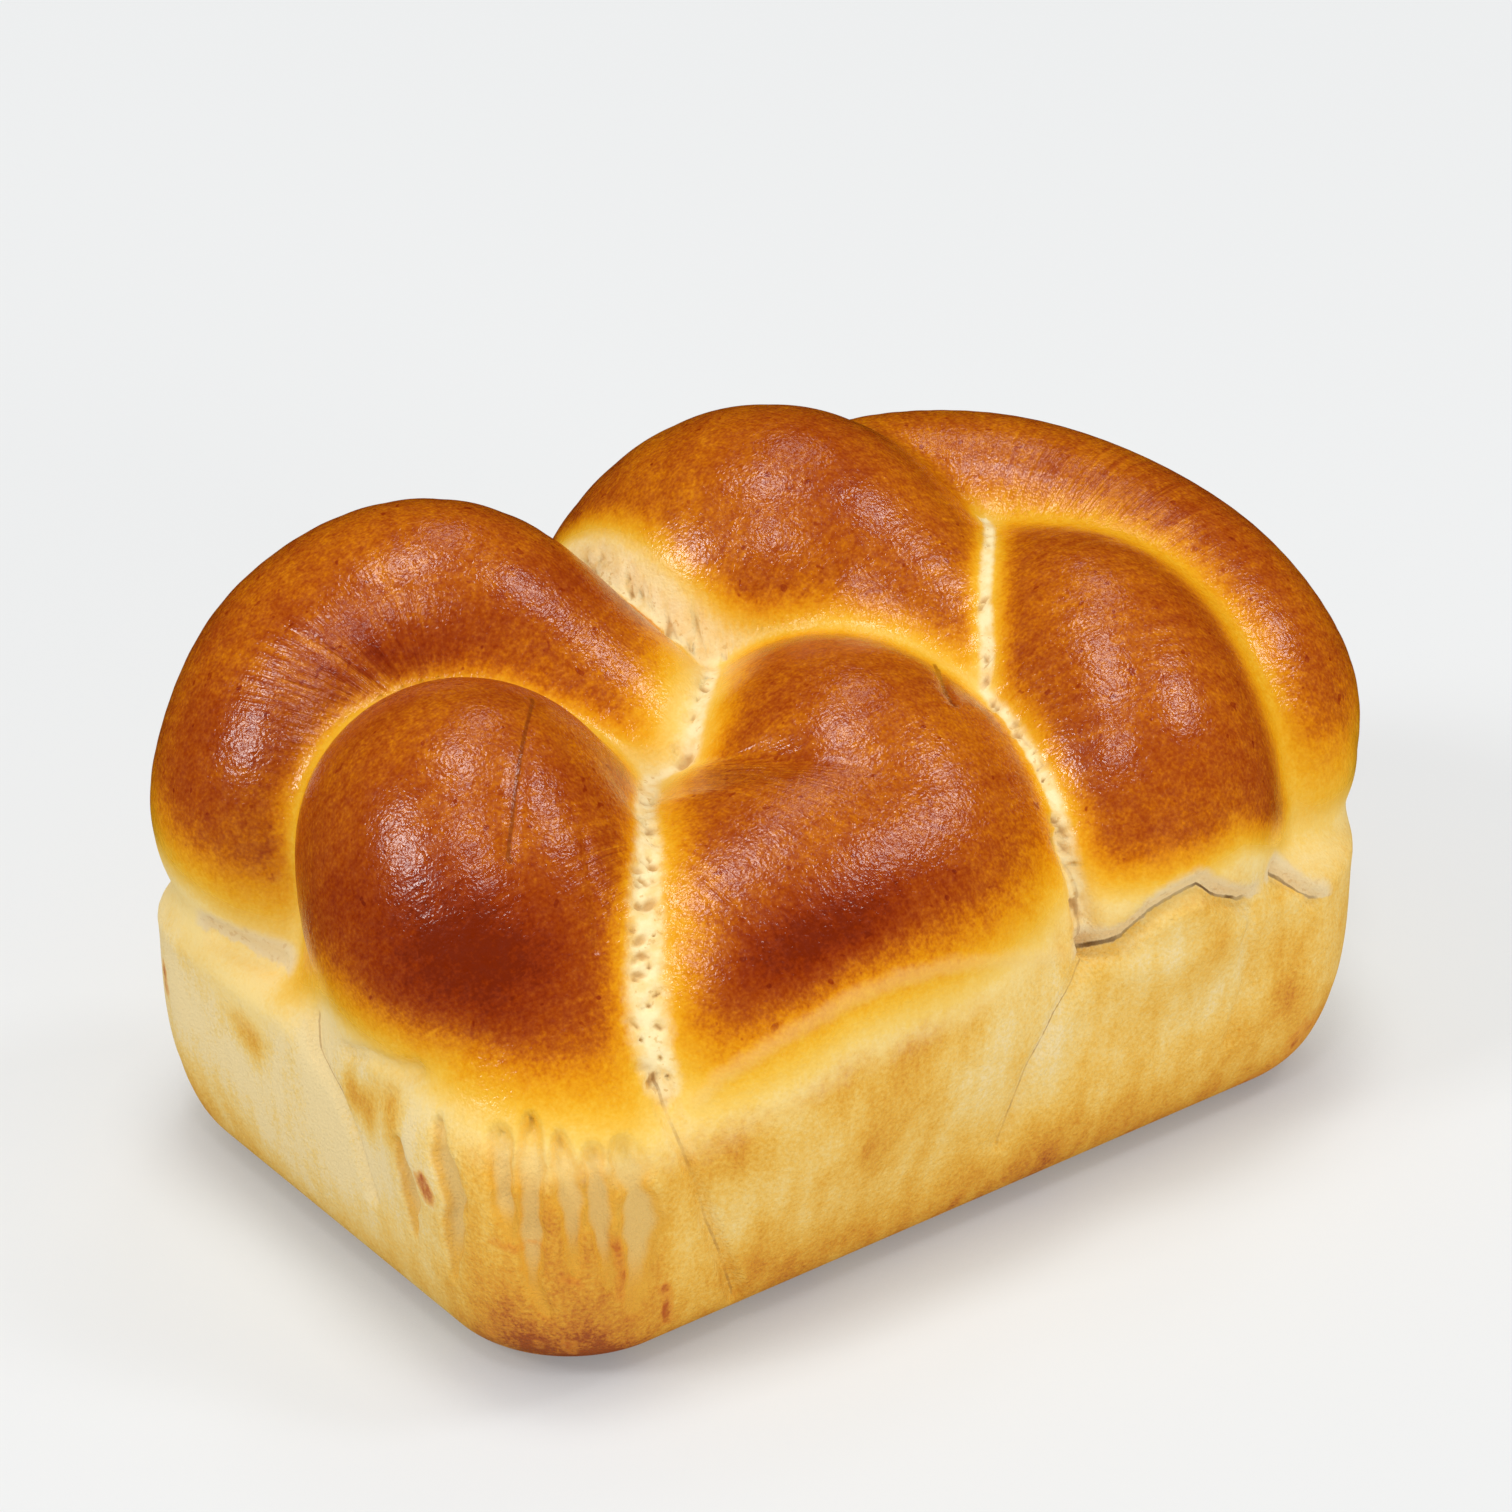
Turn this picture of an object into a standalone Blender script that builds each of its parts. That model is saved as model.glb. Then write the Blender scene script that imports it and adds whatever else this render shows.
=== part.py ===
"""A braided spelt loaf, baked in an oblong tin: six plump strand ends in two rows over a flat-sided block.

The frame is metres with +Z up. X runs along the loaf, -Y is the front long side, and the origin is in the
middle of the flat base. The whole loaf is one solid, because its strands baked into each other.

Every length below is in millimetres, as a baker would measure it, and MM turns it into metres.
"""

import bmesh
import bpy
import numpy as np

MM = 0.001

# The tin's imprint
BASE_LENGTH = 181.3
BASE_WIDTH = 117.0
BLOCK_CENTRE = (-7.7, -2.7)
WALL_FLARE = 7.2
WALL_BOW = 3.2
WALL_TOP = 39.6
CORNER_RADIUS = 23.4
BASE_EDGE_RADIUS = 9.0
BLOCK_TOP = 57.6
BLOCK_TOP_RADIUS = 10.8

# Where the dough slumped over the tin's rim it left a notch; elsewhere the strands run down into the walls
NOTCH_DEPTH = 8.6
NOTCH_BELOW = 43.2
NOTCH_ABOVE = 54.0
SMOOTH_DROP = 10.8
NOTCH_SHARE_AT_BACK = 0.35
# It runs from its start to its full depth between these places, on the front and on the left end
FRONT_NOTCH_X = (5, 27)
FRONT_NOTCH_Y = (-45, -18)
LEFT_NOTCH_X = (-95, -72)
LEFT_NOTCH_Y = (-7, 16)

# How softly the shapes run into each other
STRAND_BLEND = 4.5
BLOCK_BLEND = 9.0

# Each strand end is a chain of balls: x, y, z and radius
STRANDS = {
    "front_left": [
        (-52, 2, 53, 26), (-68.5, -4.5, 67, 29.5), (-74, -6, 73.5, 29), (-76, -16.5, 63.5, 31),
        (-74, -29, 51.5, 29), (-77.5, -37, 42, 27),
    ],
    "back_left": [
        (-23.5, -2.5, 60, 21.5), (-36, 22, 74.5, 24.5), (-48.5, 38.5, 85.5, 27), (-65.5, 43.5, 80, 27.5),
        (-78, 38.5, 67, 27.5), (-78.5, 36, 59.5, 26),
    ],
    "back_middle": [
        (30.5, -7, 65, 27), (27.5, 17.5, 76, 30.5), (19.5, 33, 77.5, 36), (8, 39, 62, 34.5),
        (8, 33.5, 47, 29.5),
    ],
    "front_middle": [
        (4, -2.5, 60, 26), (-4, -20, 62, 32), (-6.5, -32.5, 50.5, 37.5), (-28.5, -35.5, 47.5, 38),
        (-46.5, -36.5, 43.5, 37.5),
    ],
    "front_right": [(52, 5, 66, 25.5), (51.5, -20, 70, 28.5), (44.5, -40, 62, 29), (38, -44, 53.5, 29)],
    "back_right": [
        (38, 39.5, 74, 22.5), (51, 39.5, 77, 24), (67.5, 28.5, 76.5, 25), (77.5, 11, 74.5, 25),
        (82, -10, 70, 25), (81.5, -27, 62.5, 24.5), (76.5, -37, 57, 22),
    ],
}
STEPS_PER_BALL = 6

# Lines sunk into the skin: half width, depth and the points that each runs through
SEAMS = [
    (1.6, 1.6, [(-74, -62, 55), (-74, -66, 49), (-73, -68, 42), (-69, -68, 28), (-60, -65, 7)]),
    (1.8, 2.0, [(15, -58, 68), (16, -62, 61), (15, -67, 50)]),
    (1.8, 1.2, [(15, -67, 50), (11, -68, 46), (6, -70, 42), (0, -70, 33), (-4, -68, 18)]),
    (1.6, 1.2, [(-103, -1, 48), (-104, -4, 43), (-105, -12, 39), (-106, -17, 33), (-105, -21, 23)]),
    (1.8, 1.0, [(52, -69, 49), (50, -70, 41), (53, -68, 31), (51, -68, 25), (50, -68, 19)]),
]
TEARS = [
    (2.0, 2.6, [
        (16, -67, 50), (22, -68, 50), (27, -70, 55), (32, -72, 57), (37, -73, 58), (41, -73, 54),
        (50, -70, 49),
    ]),
    (1.6, 2.0, [(60, -66, 50), (64, -67, 47), (68, -68, 42)]),
    (2.2, 1.6, [(-104, 31, 50), (-102, 20, 50), (-100, 15, 50)]),
    (1.6, 1.4, [(-105, -14, 48), (-105, -21, 51), (-104, -30, 52), (-104, -34, 54)]),
]
CORNER_FOLDS = [
    (2.2, 1.2, [(-107, -33, 40), (-107, -35, 32), (-105, -34, 22)]),
    (2.4, 1.6, [(-104, -42, 48), (-106, -48, 37), (-105, -45, 19)]),
    (2.2, 1.6, [(-100, -53, 50), (-103, -57, 41), (-102, -58, 32)]),
    (2.2, 1.9, [(-95, -55, 52), (-99, -60, 44), (-100, -61, 32), (-99, -60, 23), (-97, -61, 17)]),
    (2.2, 1.7, [(-93, -60, 50), (-94, -65, 39), (-94, -65, 26)]),
    (2.2, 1.8, [(-89, -64, 48), (-90, -68, 37), (-88, -67, 22)]),
    (3.6, 2.2, [(-84, -66, 47), (-82, -68, 32), (-83, -67, 15)]),
]
FLAT_SHARE = 0.35
SLOPE_SHARE = 1.5

# The skin is found along rays from a small box inside the loaf through a large box around it
INNER_HALF = (56.0, 24.0, 13.0)
INNER_CENTRE_Z = 36.0
OUTER_HALF = (135.0, 101.0, 92.0)
CAGE_CUTS = (112, 76, 62)
TRACE_STEPS = 32
TRACE_SHARE = 0.95
NORMAL_STEP = 0.4
FLOOR_SNAP = 0.05

TRIANGLES = 11200
CRUST_COLOUR = (0.46, 0.17, 0.035, 1.0)
CRUST_ROUGHNESS = 0.42


def smooth_path(balls, steps):
    """Points with a radius along a Catmull-Rom curve through the balls of a strand."""
    balls = np.array(balls, float)
    ends = np.vstack([2 * balls[0] - balls[1], balls, 2 * balls[-1] - balls[-2]])
    path = []
    for before, start, end, after in zip(ends, ends[1:], ends[2:], ends[3:]):
        for t in np.linspace(0, 1, steps, endpoint=False):
            steady = 2 * start + (end - before) * t
            bend = (2 * before - 5 * start + 4 * end - after) * t**2
            twist = (3 * start - before - 3 * end + after) * t**3
            path.append(0.5 * (steady + bend + twist))
    return np.array(path + [balls[-1]])


PATHS = [smooth_path(balls, STEPS_PER_BALL) for balls in STRANDS.values()]


def strand_distance(points, path):
    """Distance from each point to the skin of one strand, below zero inside."""
    nearest = np.full(len(points), np.inf)
    for start, end in zip(path, path[1:]):
        along = end[:3] - start[:3]
        share = np.clip((points - start[:3]) @ along / (along @ along), 0, 1)
        gap = np.linalg.norm(points - start[:3] - share[:, None] * along, axis=1)
        nearest = np.minimum(nearest, gap - start[3] - share * (end[3] - start[3]))
    return nearest


def smooth_min(a, b, radius):
    """The smaller of two distances, rounded over where they meet."""
    share = np.clip(0.5 + 0.5 * (b - a) / radius, 0, 1)
    return b * (1 - share) + a * share - radius * share * (1 - share)


def smooth_max(a, b, radius):
    return -smooth_min(-a, -b, radius)


def smooth_step(value, low, high):
    share = np.clip((value - low) / (high - low), 0, 1)
    return share * share * (3 - 2 * share)


def notch_share(points):
    """How much of the rim's notch shows: all at the right of the front and the back of the left end."""
    x, y = points[:, 0], points[:, 1]
    rest = 1 - NOTCH_SHARE_AT_BACK
    front = smooth_step(x, *FRONT_NOTCH_X) * (1 - rest * smooth_step(y, *FRONT_NOTCH_Y))
    left = smooth_step(y, *LEFT_NOTCH_Y) * (1 - rest * smooth_step(x, *LEFT_NOTCH_X))
    return np.maximum(front, left)


def block_distance(points):
    """Distance to the block of dough that took the tin's shape, with bowed and flared walls."""
    height = points[:, 2]
    notch = notch_share(points)
    flare = WALL_FLARE * (1 - (1 - np.clip(height / WALL_TOP, 0, 1)) ** WALL_BOW)
    flare = flare - notch * NOTCH_DEPTH * smooth_step(height, NOTCH_BELOW, NOTCH_ABOVE)
    across = np.abs(points[:, 0] - BLOCK_CENTRE[0]) - (BASE_LENGTH / 2 + flare - CORNER_RADIUS)
    deep = np.abs(points[:, 1] - BLOCK_CENTRE[1]) - (BASE_WIDTH / 2 + flare - CORNER_RADIUS)
    walls = np.hypot(np.maximum(across, 0), np.maximum(deep, 0)) + np.minimum(np.maximum(across, deep), 0)
    walls_and_base = smooth_max(walls - CORNER_RADIUS, -height, BASE_EDGE_RADIUS)
    top = BLOCK_TOP - SMOOTH_DROP * (1 - notch)
    return smooth_max(walls_and_base, height - top, BLOCK_TOP_RADIUS)


def loaf_distance(points):
    """Distance from each point to the loaf's skin, below zero inside."""
    strands = [strand_distance(points, path) for path in PATHS]
    loaf = strands[0]
    for strand in strands[1:]:
        loaf = smooth_min(loaf, strand, STRAND_BLEND)
    loaf = smooth_min(loaf, block_distance(points), BLOCK_BLEND)
    return np.maximum(loaf, -points[:, 2])


def outward(points):
    """Unit vectors out of the skin, from the slope of the distance."""
    slope = np.empty_like(points)
    for axis in range(3):
        step = np.zeros(3)
        step[axis] = NORMAL_STEP
        slope[:, axis] = loaf_distance(points + step) - loaf_distance(points - step)
    return slope / np.linalg.norm(slope, axis=1, keepdims=True)


def line_distance(points, line):
    """Distance from each point to a line through several places."""
    line = np.array(line, float)
    nearest = np.full(len(points), np.inf)
    for start, end in zip(line, line[1:]):
        along = end - start
        share = np.clip((points - start) @ along / (along @ along), 0, 1)
        nearest = np.minimum(nearest, np.linalg.norm(points - start - share[:, None] * along, axis=1))
    return nearest


def sunk(points):
    """How deep the seams, tears and corner folds sink into the skin at each point."""
    depth = np.zeros(len(points))
    for half_width, deepest, line in SEAMS + TEARS + CORNER_FOLDS:
        away = line_distance(points, line) / half_width
        depth = np.maximum(depth, deepest * (1 - smooth_step(away, FLAT_SHARE, SLOPE_SHARE)))
    return depth


def skin_points(directions):
    """Where the rays through the cage's points, each from -1 to 1, come down onto the skin."""
    centre = np.array((*BLOCK_CENTRE, INNER_CENTRE_Z))
    start = centre + directions * np.array(OUTER_HALF)
    towards = centre + directions * np.array(INNER_HALF) - start
    length = np.linalg.norm(towards, axis=1)
    towards /= length[:, None]
    travelled = np.zeros(len(start))
    for _ in range(TRACE_STEPS):
        gap = loaf_distance(start + travelled[:, None] * towards)
        travelled = np.minimum(travelled + TRACE_SHARE * gap, length)
    return start + travelled[:, None] * towards


def cage():
    """A cube with its edges cut into a grid, whose corners lie at -1 and 1."""
    mesh = bmesh.new()
    bmesh.ops.create_cube(mesh, size=2.0)
    for axis, cuts in enumerate(CAGE_CUTS):
        edges = [e for e in mesh.edges if abs(e.verts[0].co[axis] - e.verts[1].co[axis]) > 1.0]
        bmesh.ops.subdivide_edges(mesh, edges=edges, cuts=cuts, use_grid_fill=True)
    return mesh


def fine_loaf():
    """The loaf as a fine closed mesh, in millimetres."""
    mesh = cage()
    points = skin_points(np.array([v.co for v in mesh.verts]))
    points -= sunk(points)[:, None] * outward(points)
    for vertex, point in zip(mesh.verts, points):
        vertex.co = point
    bmesh.ops.recalc_face_normals(mesh, faces=mesh.faces)
    bmesh.ops.triangulate(mesh, faces=mesh.faces)
    data = bpy.data.meshes.new("fine_loaf")
    mesh.to_mesh(data)
    mesh.free()
    return data


def fewer_faces(data):
    """The same mesh with few enough triangles for a part."""
    fine = bpy.data.objects.new("fine", data)
    bpy.context.scene.collection.objects.link(fine)
    thin = fine.modifiers.new("fewer_faces", "DECIMATE")
    thin.ratio = TRIANGLES / len(data.polygons)
    thinned = fine.evaluated_get(bpy.context.evaluated_depsgraph_get())
    result = bpy.data.meshes.new_from_object(thinned)
    bpy.data.objects.remove(fine)
    return result


def centre_on_base(data):
    """Set the base flat at zero, put the middle of the outline over the origin and turn it into metres."""
    points = np.array([v.co for v in data.vertices])
    points[:, :2] -= (points[:, :2].min(axis=0) + points[:, :2].max(axis=0)) / 2
    points[points[:, 2] < FLOOR_SNAP, 2] = 0
    for vertex, point in zip(data.vertices, points):
        vertex.co = point * MM


def crust_material():
    material = bpy.data.materials.new("crust")
    material.use_nodes = True
    shader = material.node_tree.nodes["Principled BSDF"]
    shader.inputs["Base Color"].default_value = CRUST_COLOUR
    shader.inputs["Roughness"].default_value = CRUST_ROUGHNESS
    shader.inputs["Metallic"].default_value = 0.0
    return material


def main():
    for old in list(bpy.data.objects):
        bpy.data.objects.remove(old)
    data = fewer_faces(fine_loaf())
    centre_on_base(data)
    data.name = "loaf"
    data.materials.append(crust_material())
    collection = bpy.data.collections.new("braided_spelt_loaf")
    bpy.context.scene.collection.children.link(collection)
    collection.objects.link(bpy.data.objects.new("loaf", data))


main()
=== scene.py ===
"""The looks of a braided spelt loaf: one fine skin of egg-washed crust, torn crumb and tin walls.

Lengths of the loaf's form are in millimetres, as in its construction, and MM turns them into metres.
"""

import math

import bmesh
import bpy
import numpy as np
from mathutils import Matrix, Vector


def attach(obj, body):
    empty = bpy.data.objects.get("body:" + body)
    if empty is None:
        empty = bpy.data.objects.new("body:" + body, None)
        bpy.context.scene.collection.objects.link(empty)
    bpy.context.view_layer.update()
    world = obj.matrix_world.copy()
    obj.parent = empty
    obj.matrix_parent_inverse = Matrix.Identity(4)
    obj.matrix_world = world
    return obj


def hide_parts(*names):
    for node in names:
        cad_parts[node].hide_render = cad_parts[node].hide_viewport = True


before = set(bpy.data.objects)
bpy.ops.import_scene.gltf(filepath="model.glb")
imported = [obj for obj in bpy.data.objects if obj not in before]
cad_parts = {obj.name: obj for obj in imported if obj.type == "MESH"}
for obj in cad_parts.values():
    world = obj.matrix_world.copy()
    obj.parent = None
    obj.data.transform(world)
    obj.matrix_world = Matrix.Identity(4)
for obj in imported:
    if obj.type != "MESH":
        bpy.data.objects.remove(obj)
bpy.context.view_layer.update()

MM = 0.001

# The tin's imprint
BASE_LENGTH = 181.3
BASE_WIDTH = 117.0
BLOCK_CENTRE = (-7.7, -2.7)
WALL_FLARE = 7.2
WALL_BOW = 3.2
WALL_TOP = 39.6
CORNER_RADIUS = 23.4
BASE_EDGE_RADIUS = 9.0
BLOCK_TOP = 57.6
BLOCK_TOP_RADIUS = 10.8

# Where the dough slumped over the tin's rim it left a notch, and elsewhere the strands run into the walls
NOTCH_DEPTH = 8.6
NOTCH_BELOW = 43.2
NOTCH_ABOVE = 54.0
SMOOTH_DROP = 10.8
NOTCH_SHARE_AT_BACK = 0.35
# On the front it sets in along x and eases off along y, and on the left end the other way round
FRONT_NOTCH_X = (5, 27)
FRONT_NOTCH_Y = (-45, -18)
LEFT_NOTCH_X = (-95, -72)
LEFT_NOTCH_Y = (-7, 16)

# How softly the shapes run into each other
STRAND_BLEND = 4.5
BLOCK_BLEND = 9.0

# Each strand end is a chain of balls: x, y, z and radius
STRANDS = {
    "front_left": [
        (-52, 2, 53, 26), (-68.5, -4.5, 67, 29.5), (-74, -6, 73.5, 29), (-76, -16.5, 63.5, 31),
        (-74, -29, 51.5, 29), (-77.5, -37, 42, 27),
    ],
    "back_left": [
        (-23.5, -2.5, 60, 21.5), (-36, 22, 74.5, 24.5), (-48.5, 38.5, 85.5, 27), (-65.5, 43.5, 80, 27.5),
        (-78, 38.5, 67, 27.5), (-78.5, 36, 59.5, 26),
    ],
    "back_middle": [
        (30.5, -7, 65, 27), (27.5, 17.5, 76, 30.5), (19.5, 33, 77.5, 36), (8, 39, 62, 34.5),
        (8, 33.5, 47, 29.5),
    ],
    "front_middle": [
        (4, -2.5, 60, 26), (-4, -20, 62, 32), (-6.5, -32.5, 50.5, 37.5), (-28.5, -35.5, 47.5, 38),
        (-46.5, -36.5, 43.5, 37.5),
    ],
    "front_right": [(52, 5, 66, 25.5), (51.5, -20, 70, 28.5), (44.5, -40, 62, 29), (38, -44, 53.5, 29)],
    "back_right": [
        (38, 39.5, 74, 22.5), (51, 39.5, 77, 24), (67.5, 28.5, 76.5, 25), (77.5, 11, 74.5, 25),
        (82, -10, 70, 25), (81.5, -27, 62.5, 24.5), (76.5, -37, 57, 22),
    ],
}
STEPS_PER_BALL = 6

# Lines sunk into the skin: half width, depth and the points that each runs through
SEAMS = [
    (1.6, 1.6, [(-74, -62, 55), (-74, -66, 49), (-73, -68, 42), (-69, -68, 28), (-60, -65, 7)]),
    (1.8, 2.0, [(15, -58, 68), (16, -62, 61), (15, -67, 50)]),
    (1.8, 1.2, [(15, -67, 50), (11, -68, 46), (6, -70, 42), (0, -70, 33), (-4, -68, 18)]),
    (1.6, 1.2, [(-103, -1, 48), (-104, -4, 43), (-105, -12, 39), (-106, -17, 33), (-105, -21, 23)]),
    (1.8, 1.0, [(52, -69, 49), (50, -70, 41), (53, -68, 31), (51, -68, 25), (50, -68, 19)]),
]
FRONT_TEARS = [
    (2.0, 2.6, [
        (16, -67, 50), (22, -68, 50), (27, -70, 55), (32, -72, 57), (37, -73, 58), (41, -73, 54),
        (50, -70, 49),
    ]),
    (1.6, 2.0, [(60, -66, 50), (64, -67, 47), (68, -68, 42)]),
]
LEFT_TEARS = [
    (2.2, 1.6, [(-104, 31, 50), (-102, 20, 50), (-100, 15, 50)]),
    (1.6, 1.4, [(-105, -14, 48), (-105, -21, 51), (-104, -30, 52), (-104, -34, 54)]),
]
TEARS = FRONT_TEARS + LEFT_TEARS
# A groove is flat out to the first share of its half width and runs out at the second
FLAT_SHARE = 0.35
SLOPE_SHARE = 1.5
# A dark line of painted shade runs along these seams, and pale torn dough shows above these tears
DARK_SEAMS = SEAMS[:4]
PALE_TEARS = FRONT_TEARS + LEFT_TEARS[:1]
# A line whose middle is left of this runs down the left wall
LEFT_WALL = -95

# Dents of the near corner: half width and the points that each runs down through
CORNER_FOLDS = [
    (2.2, [(-107, -33, 40), (-107, -35, 32), (-105, -34, 22)]),
    (2.4, [(-104, -42, 48), (-106, -48, 37), (-105, -45, 19)]),
    (2.2, [(-100, -53, 50), (-103, -57, 41), (-102, -58, 32)]),
    (2.2, [(-95, -55, 52), (-99, -60, 44), (-100, -61, 32), (-99, -60, 23), (-97, -61, 17)]),
    (2.2, [(-93, -60, 50), (-94, -65, 39), (-94, -65, 26)]),
    (2.2, [(-89, -64, 48), (-90, -68, 37), (-88, -67, 22)]),
    (3.6, [(-84, -66, 47), (-82, -68, 32), (-83, -67, 15)]),
]
FOLD_DEPTH = 2.1
# Each is narrow at its ends and wide above its middle, and shallower from halfway down
FOLD_END_WIDTH = 0.5
FOLD_BELLY = 1.5
FOLD_SLOPE = (0.4, 1.35)
FOLD_FADE = 0.6
FOLD_FADE_DOWN = (0.5, 1.0)
# Its sides wave: how much, then the pace by height, the shift from fold to fold and the size of each wave
FOLD_WAVE = 0.16
FOLD_WAVES = [(0.45, 2, 1.0), (1.1, 5, 0.6)]

# The skin is found along rays from a small box inside the loaf through a large box around it
INNER_HALF = (56.0, 24.0, 13.0)
INNER_CENTRE_Z = 36.0
OUTER_HALF = (135.0, 101.0, 92.0)
CAGE_CUTS = (190, 134, 106)
CAGE_LEAN = (0.12, 0.12, 0.0)
TRACE_STEPS = 40
TRACE_SHARE = 0.95
TRACE_END = 0.01
NORMAL_STEP = 0.4
FLOOR_SNAP = 0.05

# How brown each strand's top is, from 0 for cream to 1 for mahogany
TOP_BROWN = {
    "front_left": 0.65, "back_left": 0.63, "back_middle": 0.60, "front_middle": 0.64, "front_right": 0.64,
    "back_right": 0.61,
}
# Each strand turns from pale to brown between these heights over the crust's foot
FOOT_REACH = {
    "front_left": (-5, 16), "back_left": (5, 28), "back_middle": (4, 26), "front_middle": (-5, 17),
    "front_right": (-4, 9), "back_right": (-6, 24),
}
# A strand (first) turns from pale to brown between these gaps to another strand (second)
PALE_REACH = {
    ("front_left", "back_left"): (-7, 12), ("front_left", "front_middle"): (-3, 8),
    ("back_left", "front_left"): (-5, 7), ("back_left", "front_middle"): (1, 18),
    ("back_left", "back_middle"): (-11, 4),
    ("back_middle", "back_left"): (7, 17), ("back_middle", "front_middle"): (-3, 10),
    ("back_middle", "front_right"): (-2, 5), ("back_middle", "back_right"): (-11, 0),
    ("front_middle", "front_left"): (-5, 13), ("front_middle", "back_left"): (-2, 12),
    ("front_middle", "back_middle"): (-7, 10), ("front_middle", "front_right"): (-3.5, 5.5),
    ("front_right", "front_middle"): (-2.5, 9.5), ("front_right", "back_middle"): (-2, 6),
    ("front_right", "back_right"): (-11, 12),
    ("back_right", "front_right"): (-9, 12), ("back_right", "back_middle"): (-11, 2),
}
# Over how many millimetres one strand's browning runs into the next one's
CREASE_SOFTNESS = 1.4
# Darker places on a strand: centre, radii and how much browner
BROWNER_PATCHES = [
    ("front_left", (-97, -40, 76), (14, 28, 12), 0.34),
    ("front_middle", (-46, -65, 74), (27, 7, 9), 0.36),
    ("back_left", (-60, 22, 99), (40, 8, 7), 0.16),
    ("back_left", (-104, 33, 82), (18, 9, 20), 0.09),
    ("back_middle", (18, 1, 112), (18, 23, 12), 0.14),
    ("back_right", (80, -13, 84), (11, 48, 13), 0.10),
    ("front_right", (30, -60, 80), (16, 12, 8), 0.08),
]
# The line round the loaf where the crust above the tin ends
CRUST_FOOT = [
    (-105, 43, 50), (-104, 34, 48), (-102, 24, 45), (-98, 13, 44), (-104, -10, 56), (-105, -26, 54),
    (-97, -49, 51), (-81, -60, 49), (-72, -62, 47), (-61, -67, 50), (-40, -70, 56), (-17, -71, 56),
    (12, -66, 59), (28, -71, 60), (47, -71, 62), (72, -62, 50), (96, -30, 53), (98, 10, 50), (80, 55, 50),
    (30, 66, 49), (-40, 66, 50), (-90, 58, 50),
]

# Between these strands the dough tore apart: how wide the bare crumb is on the first one's side
TORN = {
    ("front_left", "front_middle"): 2.2, ("front_middle", "front_left"): 2.2,
    ("back_left", "front_middle"): 1.6, ("front_middle", "back_left"): 1.4,
    ("back_middle", "back_left"): 6.0, ("back_left", "back_middle"): 1.0,
    ("back_middle", "front_right"): 1.0, ("front_right", "back_middle"): 1.0,
    ("front_middle", "front_right"): 0.8, ("front_right", "front_middle"): 2.0,
}
# The value of untorn dough, what the walls add to theirs and the heights over which that sets in
UNTORN = 4.0
UNTORN_WALL = 3.0
UNTORN_BELOW = (46, 54)
# How many pits there are in the crumb of one strand (first) towards another (second)
PITTED = {
    ("front_left", "front_middle"): 26, ("front_middle", "front_left"): 30,
    ("back_middle", "back_left"): 55, ("front_right", "front_middle"): 26,
    ("back_left", "front_middle"): 14, ("back_middle", "front_right"): 14,
}
PITTED_ABOVE = 50
PIT_RADIUS = (0.8, 2.3)
PIT_DEPTH = (0.4, 1.5)
PIT_STRETCH = 0.75
# A pit is flat out to the first share of its radius and runs out at the second
PIT_SLOPE = (0.1, 0.8)
PIT_REACH = 3
# The largest pits that the photo shows: where, radius and depth
LARGE_PITS = [
    ((-58, -39, 80), 2.2, 1.5), ((-53, -31, 81), 2.0, 1.4), ((-65, -44.5, 77), 2.0, 1.4),
    ((-69, -51, 72), 2.2, 1.4), ((-45, -21, 80), 1.8, 1.2), ((-27, -7, 84), 1.8, 1.2),
    ((-32, -10, 80.5), 1.8, 1.2), ((-14, 37.5, 94), 2.4, 1.2), ((-13.5, 25.5, 92), 2.2, 1.2),
    ((-12.5, 18, 88), 2.2, 1.4), ((24, -27, 84), 2.2, 1.2), ((20.5, -40, 80), 2.2, 1.4),
    ((16, -56, 71), 2.0, 1.6), ((15, -64, 58), 2.0, 1.8), ((15.8, -66.7, 50.5), 3.4, 3.2),
]
SEED = 7

# Where the skin wrinkles across a strand: centre, radii and how strongly
WRINKLED = [
    ("back_left", (-80, 26, 96), (22, 13, 12), 1.0), ("front_middle", (-28, -26, 85), (12, 17, 12), 0.6),
    ("front_middle", (-57, -50, 77), (9, 14, 9), 0.7), ("back_right", (77, -6, 97), (18, 22, 12), 0.7),
    ("front_left", (-67, -38, 84), (5, 14, 14), 0.7),
]
# Wrinkles turn gently at a strand's bends, start afresh on each strand and fade in the creases
BEND_SOFTNESS = 1.5
STRAND_APART = 200
CREASE_FADE = (0.8, 4.0)

# Scratches and nicks in the crust: half width, depth and the points that each runs through
SCRATCHES = [
    (1.0, 0.5, [(-61, -9, 99), (-70, -19, 99), (-76, -25.5, 96), (-81, -31, 91), (-84, -34, 88)]),
    (0.9, 0.6, [(17, -22, 87), (10, -33, 89), (9, -36, 88)]),
]
DIMPLES = [
    (5.0, 0.6, [(-41, -19, 81), (-35, -25, 85), (-27, -31, 87)]),
    (0.9, 0.3, [(-69, -34, 88), (-73, -42, 81), (-76, -48, 74)]),
]
# A soft ridge runs over the front wall where the strand met the tin
RIDGE = [
    (-69, -66, 51), (-64.5, -67, 55), (-58, -69, 58), (-51, -70, 60), (-40, -70, 62), (-30, -70.5, 62.5),
    (-17.5, -71, 61), (-1, -70, 56), (14, -67, 49.5),
]
RIDGE_HEIGHT = 0.3
RIDGE_HALF_WIDTH = 2.4
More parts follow.
